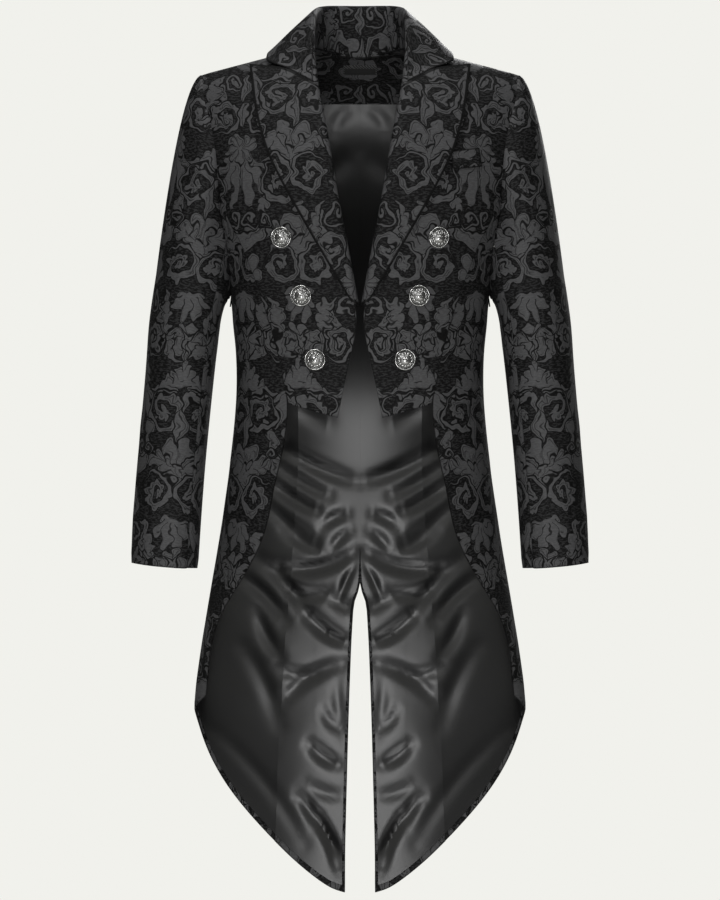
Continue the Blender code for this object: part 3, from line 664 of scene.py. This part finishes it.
# ------------------------------------------------------------ the lining
# Black satin inside the back and the tails, eased in a little long, so it
# falls in slanting creases, each a row as in fold_rows. It stops short of the
# hem and the vent.
PUCKERS = (
    (106, -500, 2, -548, 6, 8.0, 5.0), (112, -522, 40, -566, 4, 7.8, 4.2),
    (116, -548, 56, -586, 3, 7.8, 6.4), (120, -578, 58, -626, 5, 8.0, 4.3),
    (100, -612, 48, -640, 3, 6.5, 3.4), (104, -660, 8, -640, 9, 7.8, 7.4),
    (132, -648, 70, -724, -6, 9.2, 5.0), (154, -672, 98, -730, -5, 8.0, 5.0),
    (68, -722, 16, -758, 5, 7.8, 6.9), (22, -786, 98, -832, 9, 9.2, 4.7),
    (110, -790, 60, -800, 4, 7.8, 3.4), (66, -890, 28, -918, 3, 7.8, 5.3),
    (70, -942, 22, -958, 4, 7.8, 2.8), (84, -960, 26, -1048, -8, 6.5, 3.8),
    (54, -985, 24, -1034, 3, 6.5, 4.2), (152, -764, 106, -868, -6, 10.3, 3.1),
    (44, -696, 8, -714, 2, 7.8, 3.8), (128, -516, 96, -498, 3, 8.0, 4.2),
    (9, -62, 34, -92, 6, 9, 1.6), (6, -120, 40, -160, 5, 14, 1.6),
    (70, -90, 110, -180, 8, 18, 1.4), (20, -220, 90, -300, 8, 18, 1.6),
    (30, -340, 100, -400, 8, 18, 1.6), (92, -690, 40, -690, 6, 8.0, 4.2),
    (30, -812, 22, -880, 2, 7.8, 2.2), (48, -846, 26, -872, 3, 6.5, 2.9),
    (134, -716, 104, -778, 4, 8.0, 4.2), (40, -1012, 28, -1060, 2, 5.2, 1.9),
    (60, -1000, 80, -950, 3, 7.8, 2.5), (16, -590, 50, -606, 3, 6.5, 4.2),
    (190, -872, 72, -1022, -10, 9.2, 1.9), (12, -612, 40, -640, 3, 6.5, 3.4),
    (8, -660, 26, -700, 2, 5.2, 3.2), (84, -446, 40, -470, 5, 10.3, 2.5),
)
for side, k in SIDES:
    for half, near, facing in (
            ("back", (k * 0.05, 0.09, -0.4), (0, -1, 0)),
            ("side", (k * 0.15, 0, -0.5), (-k, 0, 0))):
        node = f"lining_{half}_{side}"
        lining = cut(node + "_satin", node, near, facing, 3, LINING_WALL, seam=0.0)
        size, area = lay_flat(lining, k < 0, near, (0.0, near[2]))
        open_vent(lining, k)
        press(lining, fold_rows(PUCKERS, k, "back"))
        wall(lining, LINING_WALL, satin, satin)
        hang(lining, node)

# ------------------------------------------------------------ facing and label
# A brocade facing inside the back neck, with a small woven label on it. The
# label is plain and ribbed, and is sewn down along its border.
middle = (0, 0.09, -0.03)
inner = cut("cloth_back_neck_facing", "back_neck_facing", middle, (0, -1, 0), 2, TRIM_WALL)
size, area = lay_flat(inner, False, middle, (0.0, 0.0))
wall(inner, TRIM_WALL, brocade, brocade)
hang(inner, "back_neck_facing")

woven = Finish("label_weave", Roughness=0.75)
across, up = woven.cloth_mm()
# a border 21 mm from the middle across and 7 mm up, sewn with slanting stitches
RIBS, STITCHES = 9.0, 1.6   # radians per mm
edge = abs(across).step(20.6, 21.2).most(abs(up).step(6.9, 7.4))
rib = (across * RIBS).sin() * (up * RIBS).sin() * 0.5 + 0.5
stitch = abs((across + up) * STITCHES).sin().step(0.1, 0.5) * edge
tone = rib * 0.006 + stitch * 0.05 + 0.003
woven.put(woven.shader, {"Base Color": woven.at(tone, tone, tone)})
middle = (0, 0.09, -0.0085)
label = cut("woven_label", "neck_label", middle, (0, -1, 0), 2, LABEL_WALL)
size, area = lay_flat(label, False, middle, (0.0, 0.0))
wall(label, LABEL_WALL, woven, woven)
hang(label, "neck_label")

# ------------------------------------------------------------ the breast welt
# The slanted welt of the breast pocket, on the wearer's left only, with its
# ends sewn down. Brocade.
middle = (0.138, -0.11, -0.13)
welt = cut("cloth_breast_welt", "breast_welt", middle, (0, -1, 0), 2, TRIM_WALL)
size, area = lay_flat(welt, False, middle, (0.0, 0.0))
wall(welt, TRIM_WALL, brocade, brocade, WELT_EDGE_SHADE)
hang(welt, "breast_welt")

# ------------------------------------------------------------ the buttons
# Six domed buttons of tarnished silver, in two rows of three on the fronts. A
# beaded rim and a groove run round leaves and a plain ribbed shield.
silver = Finish("aged_silver", Metallic=1.0)
place = silver.node("TexCoord", None, (), "Object")
tarnish = silver.node("TexNoise", None, {"Vector": place, "Scale": 900.0, "Detail": 3.0})
# painted shade: the silver is darker in the grooves and over the dome, where the button's shading
# falls; the noise is its tarnish
button_shade = silver.node("Attribute", {"attribute_name": "button_shade"}, (), "Fac")
shine = (0.5 - button_shade * 0.47) * (tarnish * 0.6 + 0.7)
silver.put(silver.shader, {
    "Base Color": silver.at(shine, shine, shine * 0.98),
    "Roughness": button_shade * 0.3 + tarnish * 0.12 + 0.14,
})
# radius and height, mm, and how dark the painted shade is there: back and rim, then the dome
RIM_TURNS = (
    (13.2, 0.0, 0.6), (14.0, 1.2, 0.3), (14.0, 2.3, 0.0), (13.6, 3.0, 0.0), (12.9, 3.3, 0.0),
    (12.2, 3.0, 0.3), (11.8, 2.2, 1.0), (11.3, 2.1, 1.0), (11.0, 2.8, 0.2), (10.7, 2.9, 0.0),
    (10.4, 2.7, 0.8),
)
DOME_TURNS = (
    (10.1, 2.7, 1.0), (9.2, 3.6, 0.75), (7.8, 4.8, 0.6), (6.0, 5.9, 0.6), (3.6, 6.8, 0.6),
    (1.2, 7.1, 0.5),
)
BUTTON_TURNS = RIM_TURNS + DOME_TURNS
RIM_HEIGHT, RIM_INSIDE = 3.3, 11.0


def dome(far):
    """Height of the button's dome, mm."""
    radii, heights, _ = zip(*reversed(DOME_TURNS))
    return float(np.interp(far, radii, heights))


def button_shade_at(spot):
    """How dark the painted shade is at a point of the button."""
    far, high = math.hypot(spot.x, spot.y) * 1000, spot.z * 1000
    return min(BUTTON_TURNS, key=lambda turn: abs(far - turn[0]) + abs(high - turn[1]))[2]


bpy.ops.object.select_all(action="DESELECT")
bpy.ops.mesh.primitive_circle_add(vertices=80, radius=BUTTON_TURNS[0][0] / 1000, fill_type="NGON")
button = bpy.context.active_object
bpy.ops.object.mode_set(mode="EDIT")
bpy.ops.mesh.select_all(action="SELECT")
for (r0, z0, _), (r1, z1, _) in zip(BUTTON_TURNS, BUTTON_TURNS[1:]):
    bpy.ops.mesh.extrude_region_move(TRANSFORM_OT_translate={"value": (0, 0, (z1 - z0) / 1000)})
    bpy.ops.transform.resize(value=(r1 / r0, r1 / r0, 1), center_override=(0, 0, 0))
bpy.ops.object.mode_set(mode="OBJECT")
# the painted shade of the grooves and the dome, kept on each point of the button
depth = button.data.attributes.new("button_shade", "FLOAT", "POINT")
for v in button.data.vertices:
    depth.data[v.index].value = button_shade_at(v.co)

# raised work, mm: x, y, turn in degrees, half length, half width, half height
LEAVES_ROUND, LEAF_RING, LEAF_TILT = 14, 8.4, 35
BEADS, BEAD_RING, BEAD = 48, 13.0, 0.42
raised = []
for n in range(LEAVES_ROUND):
    round_by = n * 360 / LEAVES_ROUND
    a = math.radians(round_by)
    for tilt in (LEAF_TILT, -LEAF_TILT):
        x, y = LEAF_RING * math.sin(a), LEAF_RING * math.cos(a)
        raised.append((x, y, tilt - round_by, 2.1, 0.8, 0.7))
raised.append((0, -0.4, 0, 4.0, 4.8, 0.9))   # the shield
raised += [   # three leaves over it
    (0, 5.6, 90, 2.0, 0.9, 0.7), (2.0, 5.2, 50, 2.0, 0.8, 0.7), (-2.0, 5.2, 130, 2.0, 0.8, 0.7)]
raised += [(x, -0.4, 90, 3.8, 0.35, 1.25) for x in (-2.0, 0, 2.0)]   # its ribs
raised += [(0, y, 0, 3.2, 0.35, 1.3) for y in (-2.2, 1.8)]
for n in range(BEADS):
    a = 2 * math.pi * n / BEADS
    raised.append((BEAD_RING * math.cos(a), BEAD_RING * math.sin(a), 0, BEAD, BEAD, BEAD))
parts = [button]
for x, y, turn, long, wide, high in raised:
    bpy.ops.object.select_all(action="DESELECT")
    far = math.hypot(x, y)
    level = RIM_HEIGHT if far > RIM_INSIDE else dome(far)
    bpy.ops.mesh.primitive_uv_sphere_add(segments=10, ring_count=6, radius=0.001)
    lump = bpy.context.active_object
    lump.scale, lump.rotation_euler = (long, wide, high), (0, 0, math.radians(turn))
    lump.location = (x / 1000, y / 1000, level / 1000)
    bpy.ops.object.transform_apply(location=True, rotation=True, scale=True)
    parts.append(lump)
bpy.ops.object.select_all(action="DESELECT")
for lump in parts:
    lump.select_set(True)
bpy.context.view_layer.objects.active = button
bpy.ops.object.join()
bpy.ops.object.shade_smooth_by_angle(angle=math.radians(50))
button.data.materials.append(silver.made)

# Each copy sits on its own solid, flat side down, and is turned a little.
for number in (1, 2, 3):
    for side, k in SIDES:
        node = f"button_{number}_{side}"
        co = spots(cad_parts[node])
        centre = co.mean(axis=0)
        axis = np.linalg.svd(co - centre, full_matrices=False)[2][2]
        axis = Vector(axis if axis[1] < 0 else -axis)
        back = min(Vector(p - centre).dot(axis) for p in co)
        metal = button.copy()
        metal.data = button.data.copy()
        metal.name = f"silver_button_{number}_{side}"
        bpy.context.scene.collection.objects.link(metal)
        side_way = Vector((0, 0, 1)).cross(axis).normalized()
        up_way = axis.cross(side_way)
        faced = Matrix((side_way, up_way, axis)).transposed().to_4x4()
        lean = math.radians((number * 37 + k * 11) % 9 - 4)   # -4 to 4 degrees
        turn = faced @ Matrix.Rotation(lean, 4, "Z")
        metal.data.transform(Matrix.Translation(Vector(centre) + axis * back) @ turn)
        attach(metal, "root")
        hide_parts(node)
bpy.data.objects.remove(button)

# ------------------------------------------------------------ the studio
# A pale floor under the coat, pale surroundings that light it far less than
# they show, and soft lamps on five sides. The camera looks along the centre.
FLOOR_Z, SURROUND_LIGHT = -1.45, 0.11
bpy.ops.object.select_all(action="DESELECT")
bpy.ops.mesh.primitive_plane_add(size=4, location=(0, 0, FLOOR_Z))
floor = bpy.context.active_object
floor.name = "floor"
pale = Finish("pale_floor", Base_Color=(0.86, 0.86, 0.83, 1), Roughness=0.9)
floor.data.materials.append(pale.made)

world = bpy.data.worlds.new("studio")
bpy.context.scene.world = world
world.use_nodes = True
sky = world.node_tree.nodes["Background"]
sky.inputs["Color"].default_value = (0.879, 0.879, 0.839, 1)
seen = world.node_tree.nodes.new("ShaderNodeLightPath")
dim = world.node_tree.nodes.new("ShaderNodeMapRange")
dim.inputs["To Min"].default_value, dim.inputs["To Max"].default_value = SURROUND_LIGHT, 1.0
world.node_tree.links.new(seen.outputs["Is Camera Ray"], dim.inputs["Value"])
world.node_tree.links.new(dim.outputs["Result"], sky.inputs["Strength"])

# name, place, size in m, power in W
LAMPS = (
    ("key", (-1.5, -3.0, 1.3), 1.0, 44), ("fill", (1.5, -3.0, 0.6), 1.0, 16),
    ("low", (0, -2.4, -1.15), 0.8, 22), ("top", (0, -0.2, 1.8), 1.2, 26),
    ("rear", (0.8, 2.6, 0.8), 1.4, 50),
)
lit = Vector((0, 0, -0.45))
for name, place, size, power in LAMPS:
    lamp = bpy.data.lights.new(name, "AREA")
    lamp.size, lamp.energy = size, power
    light = bpy.data.objects.new(name, lamp)
    light.location = place
    light.rotation_euler = (lit - Vector(place)).to_track_quat("-Z", "Y").to_euler()
    bpy.context.scene.collection.objects.link(light)

# the camera's distance, how much height it sees there and the level of its
# middle, m, and the film's height, mm
FAR, VIEW_HIGH, VIEW_Z, FILM = 40.0, 1.170, -0.507, 36.0
lens = bpy.data.cameras.new("camera")
lens.sensor_width, lens.lens = FILM, FILM * FAR / VIEW_HIGH
lens.clip_end = 100
camera = bpy.data.objects.new("camera", lens)
camera.location = (0, -FAR, VIEW_Z)
camera.rotation_euler = (math.radians(90), 0, 0)
bpy.context.scene.collection.objects.link(camera)
bpy.context.scene.camera = camera
bpy.context.scene.view_settings.view_transform = "Standard"
